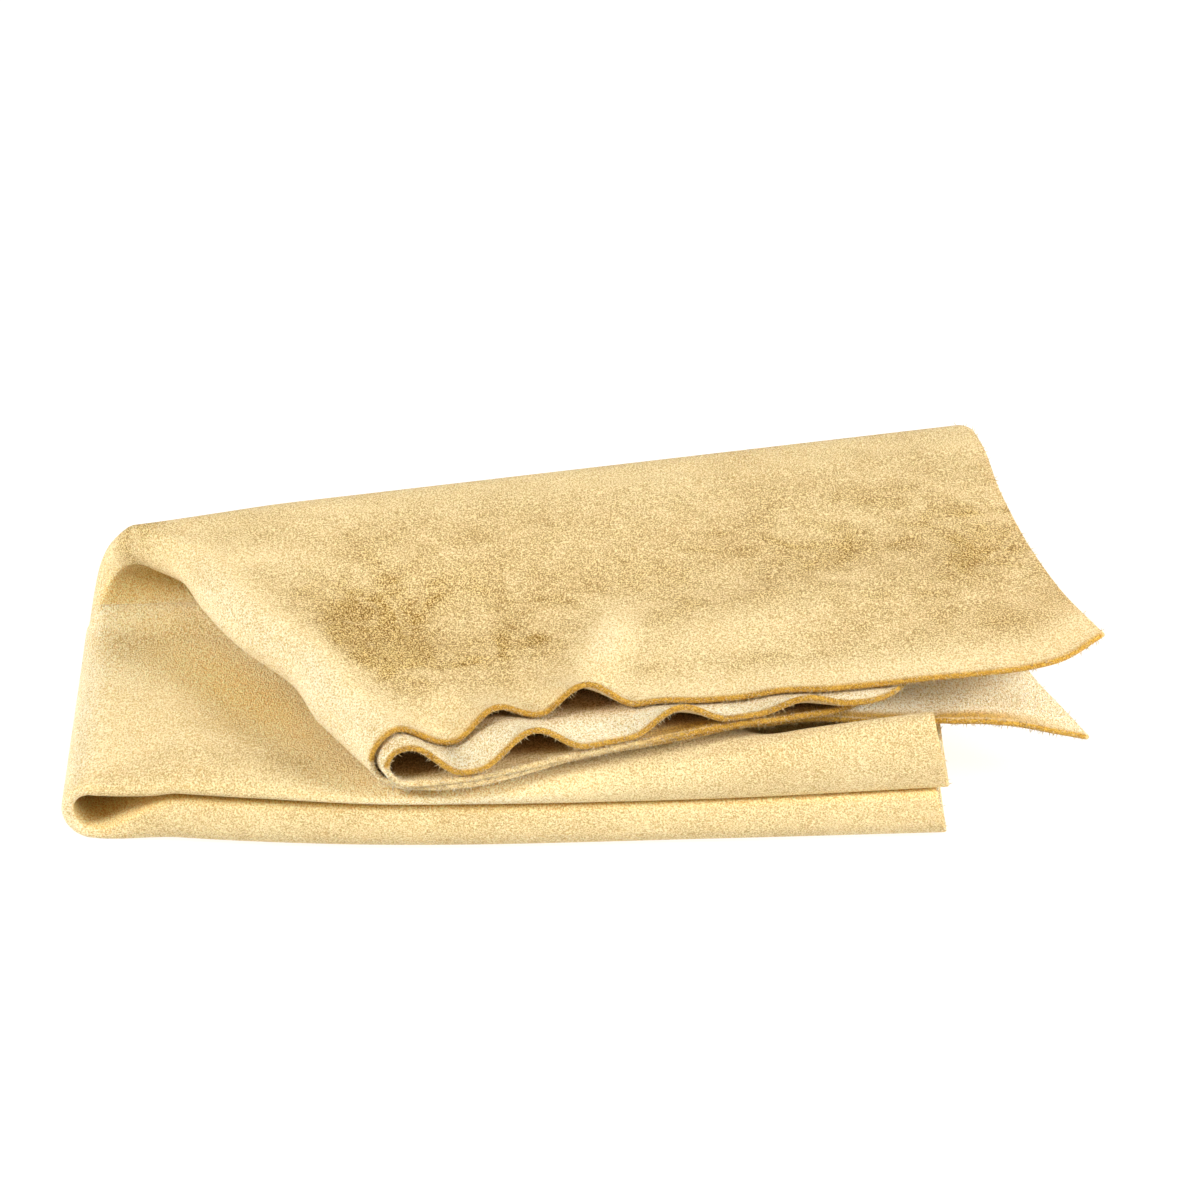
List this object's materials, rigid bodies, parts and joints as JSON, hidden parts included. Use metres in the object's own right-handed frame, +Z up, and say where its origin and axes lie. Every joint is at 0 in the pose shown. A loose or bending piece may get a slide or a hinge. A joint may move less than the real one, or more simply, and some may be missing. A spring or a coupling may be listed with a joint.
{
  "type": "chamois leather",
  "caption": "Soft oil-tanned chamois skin folded on itself into a loose flat bundle, with rolled folds and wavy cut edges, for drying and polishing wet surfaces.",
  "frame": {"origin": "on the surface that the bundle lies on, under the middle of its bounding box", "axes": "+X along the folded length, from the left fold to the open right end; +Y from the front folds to the back fold; +Z up"},
  "size_m": [0.331, 0.24, 0.046],
  "materials": {
    "chamois_suede": "matt, with a fine raised nap"
  },
  "bodies": {
    "root": {"chamois_sheet": "chamois_suede"}
  },
  "joints": []
}
